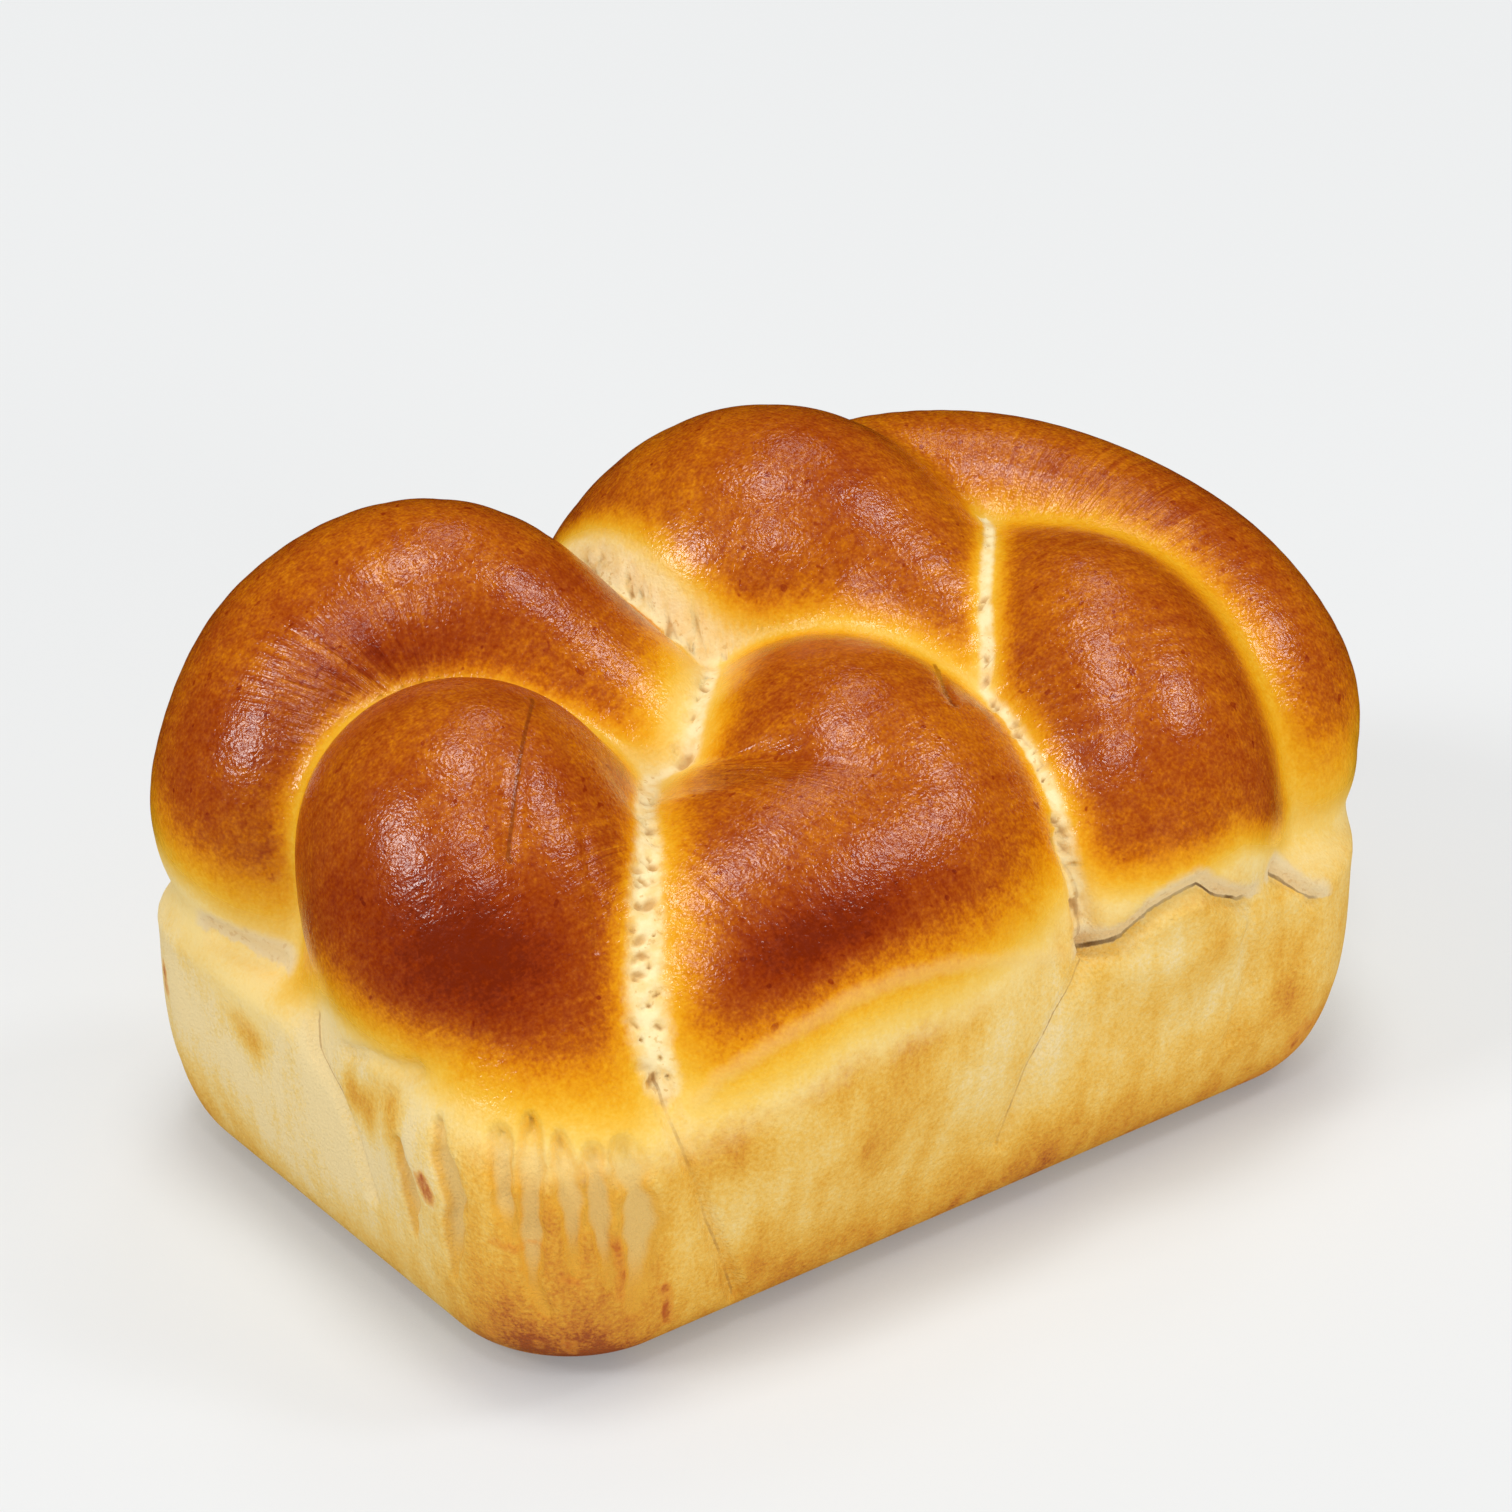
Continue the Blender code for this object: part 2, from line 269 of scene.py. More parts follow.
# Burnt marks: how wide, how dark and the line that each follows, out to this many widths
BURN_REACH = 1.5
BURNS = [
    (1.7, 1.0, [(-107, -40, 36.5), (-106.9, -41.2, 34)]),
    (1.4, 0.9, [(-104.4, 47.2, 35), (-104.4, 46.5, 32)]),
    (0.9, 0.6, [(-103.3, -55.3, 31), (-101, -58, 30), (-98, -61.5, 31)]),
    (0.9, 0.8, [(-95.5, -63.8, 25), (-93, -65, 23.5)]),
    (1.0, 0.7, [(-87, -67.6, 31), (-86, -67.7, 24.5), (-85.8, -67.3, 19)]),
    (1.1, 1.0, [(-77.1, -67.2, 18), (-75.3, -65.5, 9)]),
    (1.3, 0.8, [(-97, -58, 9), (-96.5, -57, 2)]),
    (1.4, 0.8, [(-92.7, -61.2, 9), (-91, -60, 3)]),
    (1.5, 0.7, [(-102.1, -50.1, 9), (-100, -50, 2)]),
    (3.2, 0.6, [(65, -64.5, 7), (71, -65, 14)]),
    (2.0, 0.6, [(56, -63, 4), (66, -63, 6)]),
]

# How golden the tin's wall is by the near left corner, along the base and on the front
WARM_CORNER = (-101, -63)
WARM_CORNER_REACH = (8, 32)
CORNER_WARMTH = 0.40
BASE_REACH = (1, 30)
BASE_WARMTH = 0.45
FRONT_REACH = (45, 62)
FRONT_WARMTH = 0.30
# Patches of the wall: centre, radii and how much more golden each is
WALL_PATCHES = [
    ((-34, -73, 36), (11, 6, 15), 0.24), ((-46, -72, 28), (14, 8, 8), 0.14),
    ((-28, -73, 51), (18, 8, 5), 0.30), ((-66, -70, 44), (7, 8, 10), 0.30),
    ((16, -69, 42), (5, 8, 6), 0.25), ((37, -70, 42), (9, 8, 8), 0.22),
    ((62, -68, 26), (8, 8, 10), 0.30), ((-53, -73, 50), (10, 6, 5), 0.28),
    ((-105.6, 21, 38), (5, 5, 4), 0.40), ((-105.6, 15, 36), (4, 5, 4), 0.40),
    ((-105.6, -17, 42), (4, 4, 4), 0.50), ((-105.9, -22, 40), (3, 4, 5), 0.55),
    ((-105, -29, 47), (4, 4, 4), 0.45), ((-106.7, -30, 41), (3, 3, 5), 0.40),
    ((-105, 33, 46), (6, 6, 4), 0.25), ((-102, 37, 8), (8, 12, 6), 0.20),
    ((-8, -71, 34), (9, 8, 10), -0.14), ((-19, -73, 53), (6, 8, 4), -0.14),
    ((6, -70, 40), (6, 8, 9), -0.14), ((26, -71, 46), (10, 8, 5), -0.10),
    ((48, -71, 42), (5, 8, 12), -0.20), ((-91, -58, 53), (10, 8, 4), -0.40),
    ((-101, -47, 52), (8, 10, 4), -0.40), ((-104, -2, 44), (6, 8, 8), -0.15),
    ((-104, -9, 20), (6, 10, 12), -0.15),
]


def smooth_path(balls, steps):
    """Points with a radius along a Catmull-Rom curve through the balls of a strand."""
    balls = np.array(balls, float)
    ends = np.vstack([2 * balls[0] - balls[1], balls, 2 * balls[-1] - balls[-2]])
    path = []
    for before, start, end, after in zip(ends, ends[1:], ends[2:], ends[3:]):
        for t in np.linspace(0, 1, steps, endpoint=False):
            steady = 2 * start + (end - before) * t
            bend = (2 * before - 5 * start + 4 * end - after) * t**2
            twist = (3 * start - before - 3 * end + after) * t**3
            path.append(0.5 * (steady + bend + twist))
    return np.array(path + [balls[-1]])


NAMES = list(STRANDS)
PATHS = [smooth_path(balls, STEPS_PER_BALL) for balls in STRANDS.values()]


def strand_distance(points, path):
    """Distance from each point to the skin of one strand, below zero inside."""
    nearest = np.full(len(points), np.inf)
    for start, end in zip(path, path[1:]):
        along = end[:3] - start[:3]
        share = np.clip((points - start[:3]) @ along / (along @ along), 0, 1)
        gap = np.linalg.norm(points - start[:3] - share[:, None] * along, axis=1)
        nearest = np.minimum(nearest, gap - start[3] - share * (end[3] - start[3]))
    return nearest


def smooth_min(a, b, radius):
    """The smaller of two distances, rounded over where they meet."""
    share = np.clip(0.5 + 0.5 * (b - a) / radius, 0, 1)
    return b * (1 - share) + a * share - radius * share * (1 - share)


def smooth_max(a, b, radius):
    return -smooth_min(-a, -b, radius)


def smooth_step(value, low, high):
    share = np.clip((value - low) / (high - low), 0, 1)
    return share * share * (3 - 2 * share)


def notch_share(points):
    """How much of the rim's notch shows: all at the right of the front and the back of the left end."""
    x, y = points[:, 0], points[:, 1]
    rest = 1 - NOTCH_SHARE_AT_BACK
    front = smooth_step(x, *FRONT_NOTCH_X) * (1 - rest * smooth_step(y, *FRONT_NOTCH_Y))
    left = smooth_step(y, *LEFT_NOTCH_Y) * (1 - rest * smooth_step(x, *LEFT_NOTCH_X))
    return np.maximum(front, left)


def block_distance(points):
    """Distance to the block of dough that took the tin's shape, with bowed and flared walls."""
    height = points[:, 2]
    notch = notch_share(points)
    flare = WALL_FLARE * (1 - (1 - np.clip(height / WALL_TOP, 0, 1)) ** WALL_BOW)
    flare = flare - notch * NOTCH_DEPTH * smooth_step(height, NOTCH_BELOW, NOTCH_ABOVE)
    across = np.abs(points[:, 0] - BLOCK_CENTRE[0]) - (BASE_LENGTH / 2 + flare - CORNER_RADIUS)
    deep = np.abs(points[:, 1] - BLOCK_CENTRE[1]) - (BASE_WIDTH / 2 + flare - CORNER_RADIUS)
    walls = np.hypot(np.maximum(across, 0), np.maximum(deep, 0)) + np.minimum(np.maximum(across, deep), 0)
    walls_and_base = smooth_max(walls - CORNER_RADIUS, -height, BASE_EDGE_RADIUS)
    top = BLOCK_TOP - SMOOTH_DROP * (1 - notch)
    return smooth_max(walls_and_base, height - top, BLOCK_TOP_RADIUS)


def loaf_distance(points):
    """Distance from each point to the loaf's skin, below zero inside."""
    strands = [strand_distance(points, path) for path in PATHS]
    loaf = strands[0]
    for strand in strands[1:]:
        loaf = smooth_min(loaf, strand, STRAND_BLEND)
    loaf = smooth_min(loaf, block_distance(points), BLOCK_BLEND)
    return np.maximum(loaf, -points[:, 2])


def outward(points):
    """Unit vectors out of the skin, from the slope of the distance."""
    slope = np.empty_like(points)
    for axis in range(3):
        step = np.zeros(3)
        step[axis] = NORMAL_STEP
        slope[:, axis] = loaf_distance(points + step) - loaf_distance(points - step)
    return slope / np.linalg.norm(slope, axis=1, keepdims=True)


def line_distance(points, line):
    """Distance from each point to a line through several places."""
    line = np.array(line, float)
    nearest = np.full(len(points), np.inf)
    for start, end in zip(line, line[1:]):
        along = end - start
        share = np.clip((points - start) @ along / (along @ along), 0, 1)
        nearest = np.minimum(nearest, np.linalg.norm(points - start - share[:, None] * along, axis=1))
    return nearest


def skin_points(directions):
    """Where the rays through the cage's points, each from -1 to 1, come down onto the skin."""
    centre = np.array((*BLOCK_CENTRE, INNER_CENTRE_Z))
    start = centre + directions * np.array(OUTER_HALF)
    towards = centre + directions * np.array(INNER_HALF) - start
    length = np.linalg.norm(towards, axis=1)
    towards /= length[:, None]
    travelled = np.zeros(len(start))
    moving = np.arange(len(start))
    for _ in range(TRACE_STEPS):
        gap = loaf_distance(start[moving] + travelled[moving, None] * towards[moving])
        travelled[moving] = np.minimum(travelled[moving] + TRACE_SHARE * gap, length[moving])
        moving = moving[gap > TRACE_END]
        if len(moving) == 0:
            break
    return start + travelled[:, None] * towards


def cage():
    """A cube from -1 to 1, cut into a grid that is closer at the left and the front."""
    mesh = bmesh.new()
    bmesh.ops.create_cube(mesh, size=2.0)
    for axis, cuts in enumerate(CAGE_CUTS):
        edges = [e for e in mesh.edges if abs(e.verts[0].co[axis] - e.verts[1].co[axis]) > 1.0]
        bmesh.ops.subdivide_edges(mesh, edges=edges, cuts=cuts, use_grid_fill=True)
    for vertex in mesh.verts:
        for axis, lean in enumerate(CAGE_LEAN):
            vertex.co[axis] -= lean * (1 - vertex.co[axis] ** 2)
    return mesh


def foot_height(points):
    """The height of the crust's foot at each point, read round the loaf by plan angle."""
    foot = np.array(CRUST_FOOT, float)
    angles = np.arctan2(foot[:, 1] - BLOCK_CENTRE[1], foot[:, 0] - BLOCK_CENTRE[0])
    order = angles.argsort()
    angle = np.arctan2(points[:, 1] - BLOCK_CENTRE[1], points[:, 0] - BLOCK_CENTRE[0])
    return np.interp(angle, angles[order], foot[order, 2], period=2 * math.pi)


def browning(points, strands):
    """How brown the skin is, from 0 for cream to 1 for mahogany, running softly from strand to strand."""
    near = np.exp((strands.min(axis=1, keepdims=True) - strands) / CREASE_SOFTNESS)
    above = points[:, 2] - foot_height(points)
    brown = np.zeros(len(points))
    for number, name in enumerate(NAMES):
        own = np.full(len(points), TOP_BROWN[name])
        for patch_strand, centre, radii, more in BROWNER_PATCHES:
            if patch_strand == name:
                own += more * np.exp(-(((points - centre) / radii) ** 2).sum(axis=1))
        for (first, other), (pale, full) in PALE_REACH.items():
            if first == name:
                own *= smooth_step(strands[:, NAMES.index(other)] - strands[:, number], pale, full)
        brown += near[:, number] * own * smooth_step(above, *FOOT_REACH[name])
    return brown / near.sum(axis=1)


def torn_gap(strands):
    """How near the bare crumb is: below 1 on torn crumb, rising away from it."""
    nearest = strands.argmin(axis=1)
    torn = np.full(len(strands), UNTORN)
    for (own, other), width in TORN.items():
        here = nearest == NAMES.index(own)
        gap = strands[here, NAMES.index(other)] - strands[here, NAMES.index(own)]
        torn[here] = np.minimum(torn[here], gap / width)
    return torn


def pits(points, strands):
    """How deep the crumb's pores sink at each point: drawn-out pits of many sizes where crumb shows."""
    draw = np.random.default_rng(SEED)
    depth = np.zeros(len(points))
    nearest = strands.argmin(axis=1)
    for centre, radius, deepest in LARGE_PITS:
        away = np.linalg.norm(points - centre, axis=1) / radius
        depth = np.maximum(depth, deepest * (1 - smooth_step(away, *PIT_SLOPE)))
    for (own, other), count in PITTED.items():
        gap = strands[:, NAMES.index(other)] - strands[:, NAMES.index(own)]
        bare = (nearest == NAMES.index(own)) & (gap < TORN[own, other]) & (points[:, 2] > PITTED_ABOVE)
        for centre in points[draw.choice(np.flatnonzero(bare), count)]:
            radius = draw.uniform(*PIT_RADIUS)
            deepest = draw.uniform(*PIT_DEPTH)
            axis = draw.normal(size=3)
            axis /= np.linalg.norm(axis)
            near = np.flatnonzero(np.abs(points - centre).max(axis=1) < PIT_REACH * radius)
            offset = points[near] - centre
            away = np.sqrt((offset**2).sum(axis=1) - PIT_STRETCH * (offset @ axis) ** 2) / radius
            depth[near] = np.maximum(depth[near], deepest * (1 - smooth_step(away, *PIT_SLOPE)))
    return depth


def along_strand(points, nearest):
    """Each point's place along its own strand, in millimetres, smoothed where the strand bends."""
    place = np.zeros(len(points))
    for number, path in enumerate(PATHS):
        here = np.flatnonzero(nearest == number)
        total = np.zeros(len(here))
        weights = np.zeros(len(here))
        done = 0.0
        for start, end in zip(path, path[1:]):
            run = end[:3] - start[:3]
            share = np.clip((points[here] - start[:3]) @ run / (run @ run), 0, 1)
            away = np.linalg.norm(points[here] - start[:3] - share[:, None] * run, axis=1)
            weight = np.exp(-away / BEND_SOFTNESS)
            weights += weight
            total += weight * (done + share * np.linalg.norm(run))
            done += np.linalg.norm(run)
        place[here] = total / weights
    return place


def clear_of_creases(strands):
    """How clear each point is of the crease to the next strand: 0 in it, 1 a few millimetres away."""
    ranked = np.sort(strands, axis=1)
    return smooth_step(ranked[:, 1] - ranked[:, 0], *CREASE_FADE)


def burnt(points):
    """How burnt each point is: a mark's darkness in its middle, fading to 0 outside it."""
    burn = np.zeros(len(points))
    for radius, darkness, line in BURNS:
        burn = np.maximum(burn, darkness * np.clip(BURN_REACH - line_distance(points, line) / radius, 0, 1))
    return burn


def wrinkled(points, nearest):
    """How strongly the skin wrinkles at each point."""
    share = np.zeros(len(points))
    for name, centre, radii, strength in WRINKLED:
        away = (((points - centre) / radii) ** 2).sum(axis=1)
        share = np.maximum(share, (nearest == NAMES.index(name)) * strength * np.exp(-away))
    return share


def beside(points, lines, across=None):
    """How far each point is from the nearest of several lines, and how far off it along one axis."""
    nearest = np.full(len(points), np.inf)
    offset = np.zeros(len(points))
    for _, _, line in lines:
        line = np.array(line, float)
        along = int(np.ptp(line, axis=0).argmax())
        order = line[:, along].argsort()
        aside = across or (1 if line[:, 0].mean() < LEFT_WALL else 0)
        level = np.interp(points[:, along], line[order, along], line[order, aside])
        away = line_distance(points, line)
        closer = away < nearest
        offset[closer] = (points[:, aside] - level)[closer]
        nearest[closer] = away[closer]
    return nearest, offset


def folds(points):
    """How far each point is inside the corner's folds: 1 on the flat bottom of these dents."""
    share = np.zeros(len(points))
    height = points[:, 2]
    for number, (half_width, line) in enumerate(CORNER_FOLDS):
        top, bottom = line[0][2], line[-1][2]
        down = np.clip((top - height) / (top - bottom), 0, 1)
        wave = sum(size * np.sin(pace * height + shift * number) for pace, shift, size in FOLD_WAVES)
        belly = FOLD_END_WIDTH + FOLD_BELLY * np.sqrt(down) * (1 - down)
        width = half_width * belly * (1 + FOLD_WAVE * wave)
        fold = 1 - smooth_step(line_distance(points, line) / width, *FOLD_SLOPE)
        share = np.maximum(share, fold * (1 - FOLD_FADE * smooth_step(down, *FOLD_FADE_DOWN)))
    return share


def grooves(points, lines):
    """How deep the deepest of several grooves is at each point."""
    depth = np.zeros(len(points))
    for half_width, deepest, line in lines:
        away = line_distance(points, line) / half_width
        depth = np.maximum(depth, deepest * (1 - smooth_step(away, FLAT_SHARE, SLOPE_SHARE)))
    return depth


def wall_warmth(points):
    """How golden the tin's wall is at each point."""
    corner = np.linalg.norm(points[:, :2] - WARM_CORNER, axis=1)
    warmth = CORNER_WARMTH * (1 - smooth_step(corner, *WARM_CORNER_REACH))
    warmth += BASE_WARMTH * (1 - smooth_step(points[:, 2], *BASE_REACH))
    warmth += FRONT_WARMTH * smooth_step(-points[:, 1], *FRONT_REACH)
    for centre, radii, more in WALL_PATCHES:
        warmth += more * np.exp(-(((points - centre) / radii) ** 2).sum(axis=1))
    return warmth


def paint(data, points, strands, pit):
    """Write what the material reads at each point of the skin: shares, distances and places."""
    nearest = strands.argmin(axis=1)
    looks = {
        "brown": browning(points, strands),
        "torn": torn_gap(strands) + UNTORN_WALL * (1 - smooth_step(points[:, 2], *UNTORN_BELOW)),
        "pit": pit,
        "wall": points[:, 2] - foot_height(points),
        "warmth": wall_warmth(points),
        "fold": folds(points),
        "ridge": line_distance(points, RIDGE),
        "wrinkle": wrinkled(points, nearest),
        "clear": clear_of_creases(strands),
        "burn": burnt(points),
        "along": along_strand(points, nearest) + STRAND_APART * nearest,
    }
    looks["tear"], looks["tear_side"] = beside(points, PALE_TEARS, across=2)
    looks["crack"], looks["crack_side"] = beside(points, FRONT_TEARS, across=2)
    looks["seam"], looks["seam_side"] = beside(points, DARK_SEAMS)
    looks["scratch"], looks["scratch_side"] = beside(points, SCRATCHES)
    for name, values in looks.items():
        data.attributes.new(name, "FLOAT", "POINT").data.foreach_set("value", values.astype(np.float32))


def centre_on_base(points):
    """Set the base flat at zero, put the middle of the outline over the origin and turn it into metres."""
    points[:, :2] -= (points[:, :2].min(axis=0) + points[:, :2].max(axis=0)) / 2
    points[points[:, 2] < FLOOR_SNAP, 2] = 0
    return points * MM


def flatten_base(data):
    """Make the many small faces of the flat base one face."""
    mesh = bmesh.new()
    mesh.from_mesh(data)
    flat = [f for f in mesh.faces if all(v.co.z == 0 for v in f.verts)]
    bmesh.ops.dissolve_faces(mesh, faces=flat)
    mesh.to_mesh(data)
    mesh.free()


def build_loaf():
    """The fine skin of the loaf with its looks written at each point."""
    mesh = cage()
    bare = skin_points(np.array([v.co for v in mesh.verts]))
    strands = np.stack([strand_distance(bare, path) for path in PATHS], axis=1)
    pit = pits(bare, strands)
    ridge = RIDGE_HEIGHT * (1 - smooth_step(line_distance(bare, RIDGE), 0, RIDGE_HALF_WIDTH))
    relief = grooves(bare, SEAMS + TEARS + SCRATCHES + DIMPLES) + FOLD_DEPTH * folds(bare) + pit - ridge
    points = bare - relief[:, None] * outward(bare)
    placed = centre_on_base(points)
    for vertex, point in zip(mesh.verts, placed):
        vertex.co = point
    bmesh.ops.recalc_face_normals(mesh, faces=mesh.faces)
    data = bpy.data.meshes.new("loaf_skin")
    mesh.to_mesh(data)
    mesh.free()
    data.shade_smooth()
    paint(data, bare, strands, pit)
    flatten_base(data)
    piece = bpy.data.objects.new("loaf_skin", data)
    bpy.context.scene.collection.objects.link(piece)
    return piece


def linear(red, green, blue):
    """A colour as it looks on a screen, from 0 to 255, turned into the light values that shaders take."""
    values = np.array([red, green, blue]) / 255
    return (*np.where(values <= 0.04045, values / 12.92, ((values + 0.055) / 1.055) ** 2.4), 1.0)


# The crust's colours from cream to mahogany, and the tin wall's from pale cream to burnt orange
BROWNING_COLOURS = [
    (0.00, (251, 220, 140)), (0.06, (249, 206, 98)), (0.13, (246, 194, 68)), (0.21, (243, 182, 46)),
    (0.29, (239, 168, 26)), (0.37, (232, 154, 14)), (0.44, (224, 140, 8)), (0.50, (214, 126, 6)),
    (0.56, (200, 109, 6)), (0.62, (184, 92, 8)), (0.68, (170, 76, 8)), (0.75, (157, 62, 5)),
    (0.84, (142, 47, 3)), (0.95, (122, 35, 2)),
]
WALL_COLOURS = [
    (0.00, (247, 221, 160)), (0.18, (246, 210, 124)), (0.38, (243, 194, 86)), (0.55, (236, 176, 54)),
    (0.72, (225, 153, 30)), (0.88, (206, 122, 20)), (1.00, (172, 82, 12)),
]
CRUMB_PALE = (255, 233, 176)
CRUMB_SHADE = (248, 214, 142)
# Painted shade in the crumb's fine pores, then in its pits
PORE_SHADE_COLOUR = (226, 184, 112)
PIT_SHADE_COLOUR = (212, 168, 102)
# Painted shade in the cracks and in the deepest pits
GAP_SHADE_COLOUR = (112, 78, 30)
TORN_EDGE_COLOUR = (236, 212, 166)
# Painted shade in the seams, then in the scratches
SEAM_SHADE_COLOUR = (160, 108, 48)
SCRATCH_SHADE_COLOUR = (112, 46, 10)
SINGED_COLOUR = (230, 146, 30)
BURN_COLOUR = (190, 86, 2)
FOLD_COLOUR = (230, 196, 122)
# Painted shade along the edges of the corner's dents
FOLD_EDGE_SHADE_COLOUR = (234, 172, 48)
RIDGE_COLOUR = (246, 208, 132)

# Layers of noise: scale, detail, roughness and how strongly each shows
CRUST_MOTTLES = [(1500, 1, 0.5, 0.27), (480, 3, 0.65, 0.27), (60, 2, 0.5, 0.20)]
WALL_MOTTLES = [(60, 3, 0.6, 0.75), (1300, 2, 0.6, 0.55)]
RAGGED_EDGES = [(500, 3, 0.6, 1.0), (160, 1, 0.5, 0.6)]
SHINE_PATCHES = [(500, 2, 0.6, 0.25)]
RIPPLES = [(120, 1, 0.5, 0.6), (520, 2, 0.6, 0.5)]
SPECK_SCALE = 420
CRUMB_SCALE = 400
PORE_SCALE = 700
EDGE_PORE_SCALE = 620
FADING_SCALE = 140
GRAIN_SCALE = 1700
UPRIGHT_SCALE = (230, 230, 50)
UPRIGHT_SHARE = 0.46

# Wrinkles drawn out across a strand, and how strong they are on plain and on wrinkled skin
WRINKLE_RUN = 60.0
WRINKLES_PER_MM = 0.8
STREAK_SHARE = 1.5
STREAKS_IN_COLOUR = (0.12, 0.4)
STREAKS_IN_RELIEF = (0.35, 2.4)

# Where a look comes in: the values that it starts and ends at, then how strong it is at each
MOTTLED_BY_BROWN = (0.0, 0.5, 0.25, 1.0)
SPECKS = (0.21, 0.26, 0.0, 1.0)
SPECKED_BY_BROWN = (0.3, 0.6, 0.0, 0.15)
# Painted shade along the dents' edges comes in over these fold values
FOLD_EDGES = (0.03, 0.35, 0.0, 0.7)
FOLD_BOTTOMS = (0.45, 0.95, 0.0, 0.7)
CRUMB_PATCHES = (-0.2, 0.1, 0.0, 1.0)
# These three put painted shade into the crumb's pores, by noise, and into its pits, by their depth
CRUMB_PORES = (0.12, 0.2, 0.0, 0.7)
PITS = (0.35, 1.3, 0.0, 1.0)
DEEP_PITS = (1.9, 2.8, 0.0, 1.0)
WALL = (-9, 1, 1.0, 0.0)
RIDGE_TOP = (0.3, 2.4, 0.3, 0.0)
BARE_CRUMB = (0.4, 1.7, 1.0, 0.0)
TORN_EDGE_LOW = (-0.6, 0.2, 0.0, 1.0)
TORN_EDGE_HIGH = (2.6, 5.0, 1.0, 0.0)
TORN_EDGE_REACH = (3.0, 6.0, 0.8, 0.0)
# Painted shade in the pores of the torn edge
TORN_EDGE_PORES = (0.08, 0.2, 0.0, 0.55)
NEAR_BURN = (0.0, 0.25, 0.0, 1.0)

# How far noise makes the edge of each look ragged
WALL_RAGGED = 6.0
RIDGE_RAGGED = 2.0
TORN_EDGE_RAGGED = 2.2
BURN_RAGGED = 1.6
LINE_RAGGED = 0.4
LINE_RAGGED_BY_WIDTH = 0.5
LINE_EDGE = (0.6, 1.4)
LINE_END = 0.6

# Thin dark lines of painted shade in the cracks, seams and scratches: which, half width, reach, how they
# come and go with noise, and colour
THIN_LINES = [
    ("crack", 0.34, 1.8, (-0.12, 0.12, 0.45, 0.95), GAP_SHADE_COLOUR),
    ("seam", 0.26, 1.6, (-0.15, 0.15, 0.08, 0.55), SEAM_SHADE_COLOUR),
    ("scratch", 0.45, 1.6, (-0.15, 0.15, 0.55, 0.55), SCRATCH_SHADE_COLOUR),
]
# A burnt mark's singed rim and its middle
BURN_LOOKS = [((0.0, 0.7, 0.0, 0.6), SINGED_COLOUR), ((0.55, 1.2, 0.0, 0.9), BURN_COLOUR)]

# The egg wash shines on the brown crust only, over these browning values
GLAZED = (0.02, 0.25)
CRUST_ROUGHNESS = 0.20
SHINIEST = 0.13
WALL_ROUGHNESS = 0.6
CRUMB_ROUGHNESS = 0.7
GRAIN_ON_CRUST = 0.35
GRAIN_ON_WALL = 0.9
BUMP_DEPTH = 0.0003


